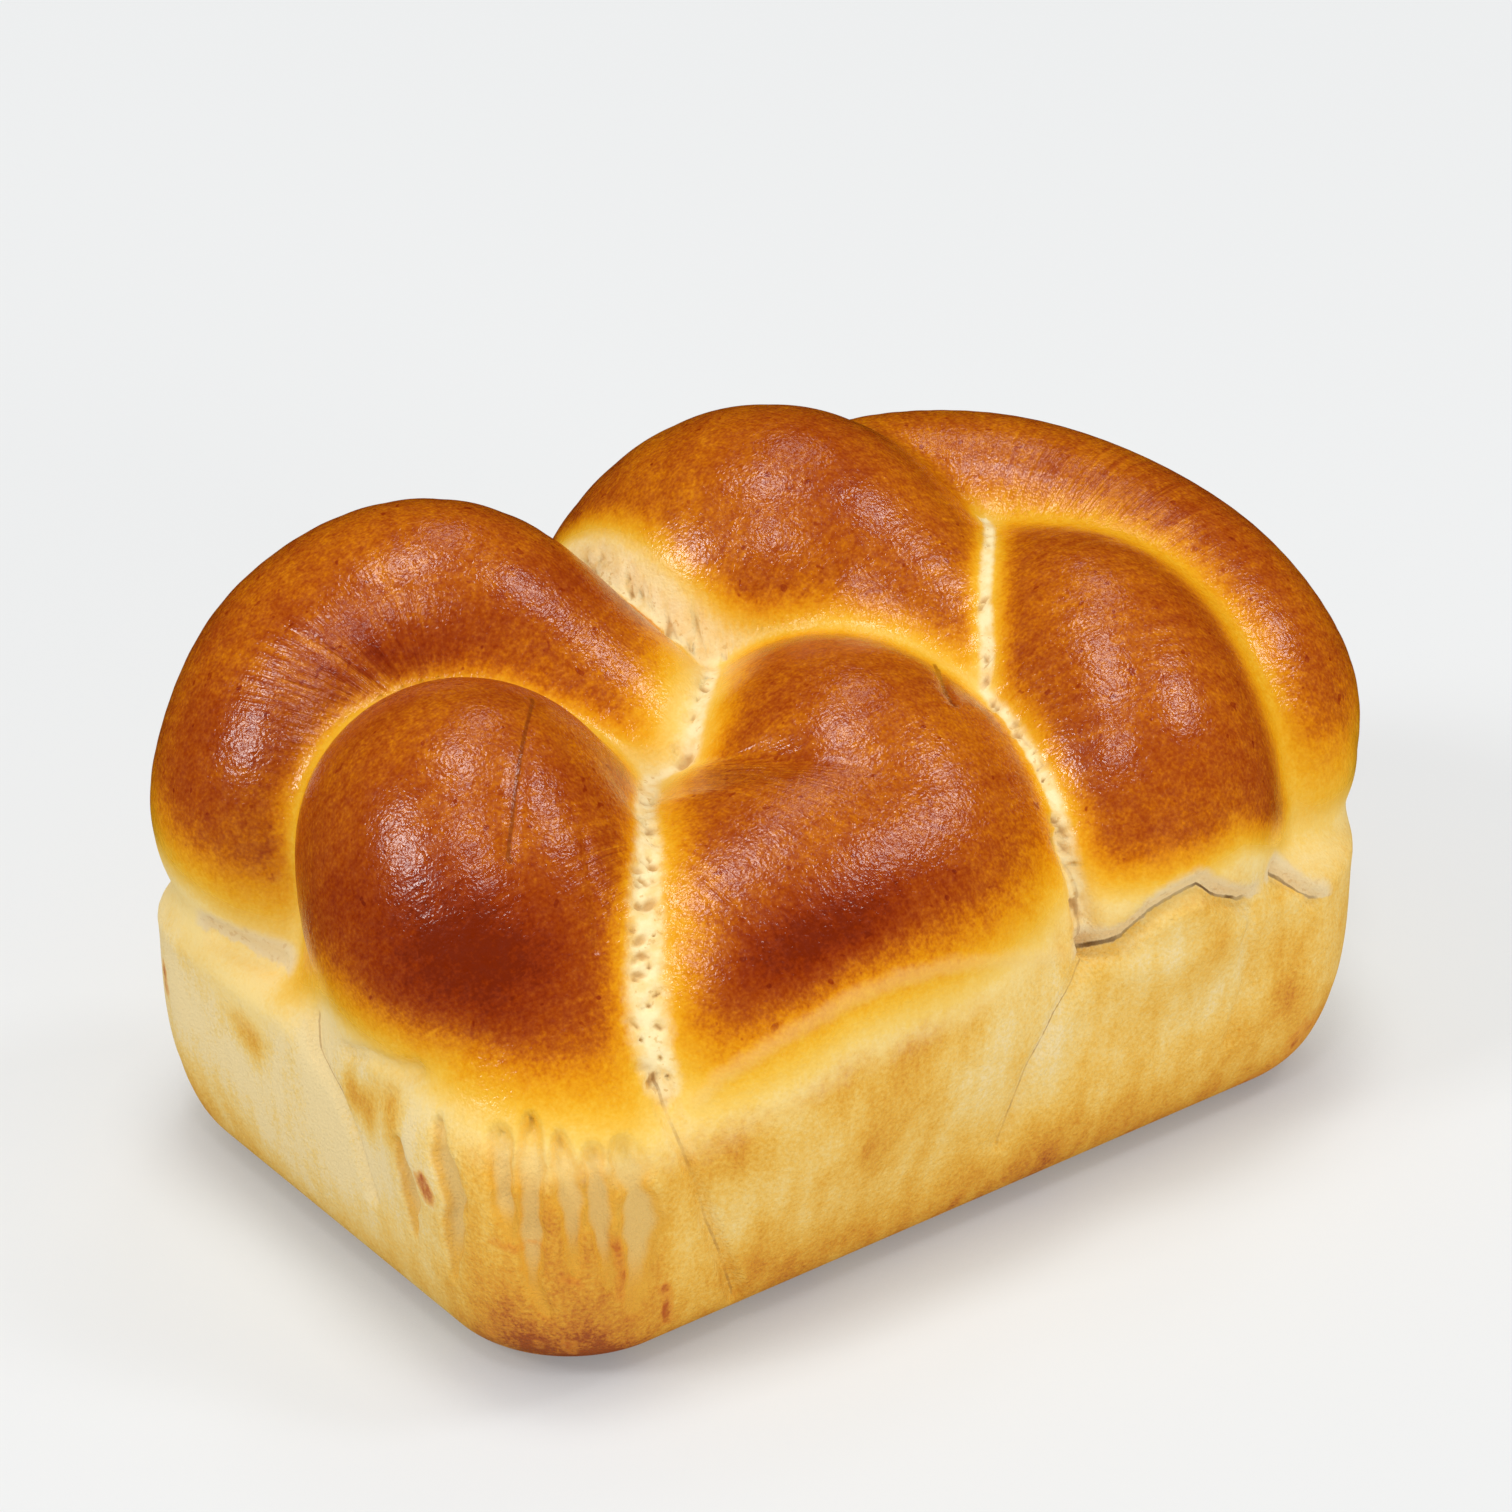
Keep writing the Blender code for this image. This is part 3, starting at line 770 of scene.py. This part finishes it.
class Nodes:
    """Short calls for building a material's node tree."""

    def __init__(self, material):
        material.use_nodes = True
        self.tree = material.node_tree
        self.shader = self.tree.nodes["Principled BSDF"]

    def add(self, kind, values=(), **settings):
        node = self.tree.nodes.new(kind)
        for name, value in settings.items():
            setattr(node, name, value)
        for name, value in dict(values).items():
            self.plug(value, node.inputs[name])
        return node

    def plug(self, value, socket):
        if isinstance(value, bpy.types.NodeSocket):
            self.tree.links.new(value, socket)
        else:
            socket.default_value = value

    def look(self, name):
        """One of the values that paint wrote at each point of the skin."""
        return self.add("ShaderNodeAttribute", attribute_name=name).outputs["Fac"]

    def place(self):
        return self.add("ShaderNodeTexCoord").outputs["Object"]

    def maths(self, operation, a, b=0.0):
        node = self.add("ShaderNodeMath", operation=operation)
        self.plug(a, node.inputs[0])
        self.plug(b, node.inputs[1])
        return node.outputs[0]

    def times(self, a, b):
        return self.maths("MULTIPLY", a, b)

    def plus(self, a, b):
        return self.maths("ADD", a, b)

    def noise(self, scale, detail=3.0, roughness=0.5, place=None):
        """Noise round zero, with features of about 1 / scale metres."""
        values = {"Vector": place or self.place(), "Scale": scale, "Detail": detail, "Roughness": roughness}
        return self.maths("SUBTRACT", self.add("ShaderNodeTexNoise", values).outputs["Fac"], 0.5)

    def layers(self, noises):
        """The sum of several layers of noise."""
        whole = 0.0
        for scale, detail, roughness, weight in noises:
            whole = self.plus(self.times(self.noise(scale, detail, roughness), weight), whole)
        return whole

    def ragged(self, name, noise, amount):
        """One of the painted values with its edges made ragged by noise."""
        return self.plus(self.look(name), self.times(noise, amount))

    def strand_place(self):
        """A place for noise that is drawn out across the strands, as the dough's skin wrinkles."""
        scaled = {0: self.place(), 1: (WRINKLE_RUN,) * 3}
        wide = self.add("ShaderNodeVectorMath", scaled, operation="MULTIPLY").outputs[0]
        along = self.times(self.look("along"), WRINKLES_PER_MM)
        aside = self.add("ShaderNodeCombineXYZ", {"X": along}).outputs[0]
        return self.add("ShaderNodeVectorMath", {0: wide, 1: aside}, operation="ADD").outputs[0]

    def streaks(self, plain, strongest):
        """Noise across the strands, stronger where the skin wrinkles, and none in a crease."""
        strength = self.span(self.look("wrinkle"), 0.0, 1.0, plain, strongest)
        strength = self.times(strength, self.look("clear"))
        return self.times(self.noise(1.0, 3, 0.6, place=self.strand_place()), strength)

    def span(self, value, low, high, new_low, new_high):
        """A value carried smoothly from one range to another and held at its ends."""
        values = {"Value": value, "From Min": low, "From Max": high, "To Min": new_low, "To Max": new_high}
        return self.add("ShaderNodeMapRange", values, interpolation_type="SMOOTHSTEP").outputs[0]

    def mix(self, share, a, b):
        node = self.add("ShaderNodeMix", data_type="RGBA")
        self.plug(share, node.inputs["Factor"])
        self.plug(a, node.inputs[6])
        self.plug(b, node.inputs[7])
        return node.outputs[2]

    def marked(self, colour, share, mark):
        """A colour with another one, given as it looks on a screen, laid over a share of it."""
        return self.mix(share, colour, linear(*mark))

    def ramp(self, value, stops):
        node = self.add("ShaderNodeValToRGB")
        band = node.color_ramp
        while len(band.elements) < len(stops):
            band.elements.new(1.0)
        for element, (place, colour) in zip(band.elements, stops):
            element.position = place
            element.color = linear(*colour)
        self.plug(value, node.inputs[0])
        return node.outputs[0]


def crust_colour(nodes, brown):
    """The browning with speckles, mottles, blotches and streaks, weaker where the dough stayed pale."""
    streaks = nodes.times(nodes.streaks(*STREAKS_IN_COLOUR), STREAK_SHARE)
    uneven = nodes.plus(nodes.layers(CRUST_MOTTLES), streaks)
    browned = nodes.plus(brown, nodes.times(uneven, nodes.span(brown, *MOTTLED_BY_BROWN)))
    speck = nodes.span(nodes.noise(SPECK_SCALE, 1), *SPECKS)
    specked = nodes.times(speck, nodes.span(brown, *SPECKED_BY_BROWN))
    return nodes.ramp(nodes.plus(browned, specked), BROWNING_COLOURS)


def wall_colour(nodes):
    """The tin's wall: from pale cream to golden and orange, with a fine grain, upright streaks and painted
    shade along the edges of the corner's dents.
    """
    stretched = nodes.add("ShaderNodeMapping", {"Vector": nodes.place(), "Scale": UPRIGHT_SCALE}).outputs[0]
    upright = nodes.times(nodes.noise(1.0, 2, place=stretched), UPRIGHT_SHARE)
    tone = nodes.plus(nodes.look("warmth"), nodes.plus(nodes.layers(WALL_MOTTLES), upright))
    wall = nodes.ramp(tone, WALL_COLOURS)
    wall = nodes.marked(wall, nodes.span(nodes.look("fold"), *FOLD_EDGES), FOLD_EDGE_SHADE_COLOUR)
    return nodes.marked(wall, nodes.span(nodes.look("fold"), *FOLD_BOTTOMS), FOLD_COLOUR)


def crumb_colour(nodes):
    """Torn crumb: pale and smooth, with painted shade in its fine pores and its pits, darkest in the
    deepest pits.
    """
    patches = nodes.span(nodes.noise(CRUMB_SCALE, 3), *CRUMB_PATCHES)
    crumb = nodes.marked(linear(*CRUMB_SHADE), patches, CRUMB_PALE)
    crumb = nodes.marked(crumb, nodes.span(nodes.noise(PORE_SCALE, 2), *CRUMB_PORES), PORE_SHADE_COLOUR)
    crumb = nodes.marked(crumb, nodes.span(nodes.look("pit"), *PITS), PIT_SHADE_COLOUR)
    return nodes.marked(crumb, nodes.span(nodes.look("pit"), *DEEP_PITS), GAP_SHADE_COLOUR)


def torn_edge(nodes, ragged):
    """How much the pale torn dough above the tears on the walls shows."""
    rise = nodes.ragged("tear_side", ragged, TORN_EDGE_RAGGED)
    band = nodes.times(nodes.span(rise, *TORN_EDGE_LOW), nodes.span(rise, *TORN_EDGE_HIGH))
    return nodes.times(band, nodes.span(nodes.look("tear"), *TORN_EDGE_REACH))


def line_share(nodes, name, ragged, half_width, reach):
    """How much a thin ragged line shows, from the distance to it and the distance to one side of it."""
    off_line = nodes.ragged(name + "_side", ragged, LINE_RAGGED_BY_WIDTH * half_width + LINE_RAGGED)
    inner, outer = LINE_EDGE
    thin = nodes.span(nodes.maths("ABSOLUTE", off_line), inner * half_width, outer * half_width, 1.0, 0.0)
    return nodes.times(thin, nodes.span(nodes.look(name), LINE_END * reach, reach, 1.0, 0.0))


def loaf_colour(nodes, ragged, wall, bare):
    """Crust, walls and crumb, then what lies over them: torn edges with painted shade in their pores, thin
    lines of painted shade and burnt marks.
    """
    colour = nodes.mix(wall, crust_colour(nodes, nodes.look("brown")), wall_colour(nodes))
    ridge = nodes.span(nodes.ragged("ridge", ragged, RIDGE_RAGGED), *RIDGE_TOP)
    colour = nodes.marked(colour, ridge, RIDGE_COLOUR)
    colour = nodes.mix(bare, colour, crumb_colour(nodes))
    edge = torn_edge(nodes, ragged)
    colour = nodes.marked(colour, edge, TORN_EDGE_COLOUR)
    # Painted shade in the torn edge's pores
    pores = nodes.span(nodes.noise(EDGE_PORE_SCALE, 2), *TORN_EDGE_PORES)
    colour = nodes.marked(colour, nodes.times(edge, pores), PIT_SHADE_COLOUR)
    fading = nodes.noise(FADING_SCALE, 2)
    for name, half_width, reach, faded, mark in THIN_LINES:
        share = line_share(nodes, name, ragged, half_width, reach)
        colour = nodes.marked(colour, nodes.times(share, nodes.span(fading, *faded)), mark)
    burn = nodes.ragged("burn", ragged, BURN_RAGGED)
    near_burn = nodes.span(nodes.look("burn"), *NEAR_BURN)
    for shown, mark in BURN_LOOKS:
        colour = nodes.marked(colour, nodes.times(nodes.span(burn, *shown), near_burn), mark)
    return colour


def loaf_roughness(nodes, bare):
    """Glossy on the egg-washed crust, in patches, and matte on the walls and the crumb."""
    patchy = nodes.plus(CRUST_ROUGHNESS, nodes.layers(SHINE_PATCHES))
    glazed = nodes.span(nodes.look("brown"), *GLAZED, WALL_ROUGHNESS, SHINIEST)
    crumb = nodes.times(bare, CRUMB_ROUGHNESS)
    return nodes.maths("MAXIMUM", nodes.maths("MAXIMUM", glazed, patchy), crumb)


def loaf_relief(nodes, wall):
    """Ripples and wrinkles too fine for the mesh, and a grain that is stronger on the walls."""
    graininess = nodes.span(wall, 0.0, 1.0, GRAIN_ON_CRUST, GRAIN_ON_WALL)
    grain = nodes.times(nodes.noise(GRAIN_SCALE, 1), graininess)
    height = nodes.plus(nodes.plus(nodes.layers(RIPPLES), grain), nodes.streaks(*STREAKS_IN_RELIEF))
    values = {"Height": height, "Strength": 1.0, "Distance": BUMP_DEPTH}
    return nodes.add("ShaderNodeBump", values).outputs[0]


def crust_material():
    material = bpy.data.materials.new("crust_look")
    nodes = Nodes(material)
    ragged = nodes.layers(RAGGED_EDGES)
    wall = nodes.span(nodes.ragged("wall", ragged, WALL_RAGGED), *WALL)
    bare = nodes.span(nodes.ragged("torn", ragged, 1.0), *BARE_CRUMB)
    nodes.plug(loaf_colour(nodes, ragged, wall, bare), nodes.shader.inputs["Base Color"])
    nodes.plug(loaf_roughness(nodes, bare), nodes.shader.inputs["Roughness"])
    nodes.plug(loaf_relief(nodes, wall), nodes.shader.inputs["Normal"])
    return material


# The photo's camera: where it stands in metres, how it tilts and turns in degrees, and its lens
CAMERA_PLACE = (-0.4844, -0.6299, 0.4962)
CAMERA_DOWN = 61.5
CAMERA_TURN = -37.15
SENSOR_WIDTH = 36.0
FRAME_PIXELS = 1512
FOCAL_PIXELS = 5000

# The pale floor reflects a share of the light and glows a little, and under the loaf's edge both are
# darkened as a painted contact shadow
FLOOR_SIZE = 12.0
FLOOR_COLOUR = (243, 242, 240)
FLOOR_ROUGHNESS = 0.9
FLOOR_GLOW = 0.41
FLOOR_SHARE = 0.54
FLOOR_TINT = (0.962, 1.0, 1.04)
BLACK = (0, 0, 0, 1)
CONTACT_REACH = 0.02
CONTACT_SAMPLES = 3
CONTACT_SHADE = (0.1, 0.85, 0.57, 1.0)

SKY_STRENGTH = 0.46
# Each softbox: name, where it stands, its side, its power and whether it shows in the gloss
SOFTBOXES = [
    ("left", (-2.6, 0.4, 2.3), 0.8, 34.0, True),
    ("overhead", (0.1, 0.5, 3.7), 0.85, 23.0, True),
    ("near", (-1.2, -1.2, 3.5), 0.6, 17.0, True),
    ("right", (2.0, -0.9, 3.0), 0.7, 18.0, True),
    ("back", (1.7, 1.6, 3.2), 0.7, 6.0, True),
    ("front", (0.2, -3.2, 0.75), 1.2, 28.0, False),
]
LIGHT_TARGET = (0.0, 0.0, 0.06)


def floor_material():
    material = bpy.data.materials.new("floor_look")
    nodes = Nodes(material)
    glow = linear(*FLOOR_COLOUR)
    cool = (*(value * FLOOR_SHARE * tint for value, tint in zip(glow, FLOOR_TINT)), 1.0)
    reach = {"Distance": CONTACT_REACH}
    # Painted contact shadow: the floor's colour and glow are darkened where the loaf closes in over it
    open_sky = nodes.add("ShaderNodeAmbientOcclusion", reach, samples=CONTACT_SAMPLES).outputs["AO"]
    lit = nodes.span(open_sky, *CONTACT_SHADE)
    nodes.plug(nodes.mix(lit, BLACK, cool), nodes.shader.inputs["Base Color"])
    nodes.plug(nodes.mix(lit, BLACK, glow), nodes.shader.inputs["Emission Color"])
    nodes.plug(FLOOR_ROUGHNESS, nodes.shader.inputs["Roughness"])
    nodes.plug(FLOOR_GLOW, nodes.shader.inputs["Emission Strength"])
    nodes.plug(0.0, nodes.shader.inputs["Specular IOR Level"])
    return material


def build_floor():
    bpy.ops.mesh.primitive_plane_add(size=FLOOR_SIZE)
    floor = bpy.context.object
    floor.name = "floor"
    floor.data.materials.append(floor_material())
    floor.visible_glossy = False


def build_lights():
    for name, place, side, power, shows in SOFTBOXES:
        light = bpy.data.lights.new(name, "AREA")
        light.size = side
        light.energy = power
        box = bpy.data.objects.new(name, light)
        box.location = place
        aim = Vector(LIGHT_TARGET) - Vector(place)
        box.rotation_euler = aim.to_track_quat("-Z", "Y").to_euler()
        box.visible_glossy = shows
        bpy.context.scene.collection.objects.link(box)
    world = bpy.data.worlds.new("sky")
    world.use_nodes = True
    background = world.node_tree.nodes["Background"]
    background.inputs["Color"].default_value = (1, 1, 1, 1)
    background.inputs["Strength"].default_value = SKY_STRENGTH
    world.cycles_visibility.glossy = False
    bpy.context.scene.world = world
    bpy.context.scene.view_settings.view_transform = "Standard"


def build_camera():
    lens = bpy.data.cameras.new("camera")
    lens.sensor_width = SENSOR_WIDTH
    lens.lens = SENSOR_WIDTH * FOCAL_PIXELS / FRAME_PIXELS
    camera = bpy.data.objects.new("camera", lens)
    camera.location = CAMERA_PLACE
    camera.rotation_euler = (math.radians(CAMERA_DOWN), 0, math.radians(CAMERA_TURN))
    bpy.context.scene.collection.objects.link(camera)
    bpy.context.scene.camera = camera


loaf = build_loaf()
loaf.data.materials.append(crust_material())
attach(loaf, "root")
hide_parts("loaf")
build_floor()
build_lights()
build_camera()
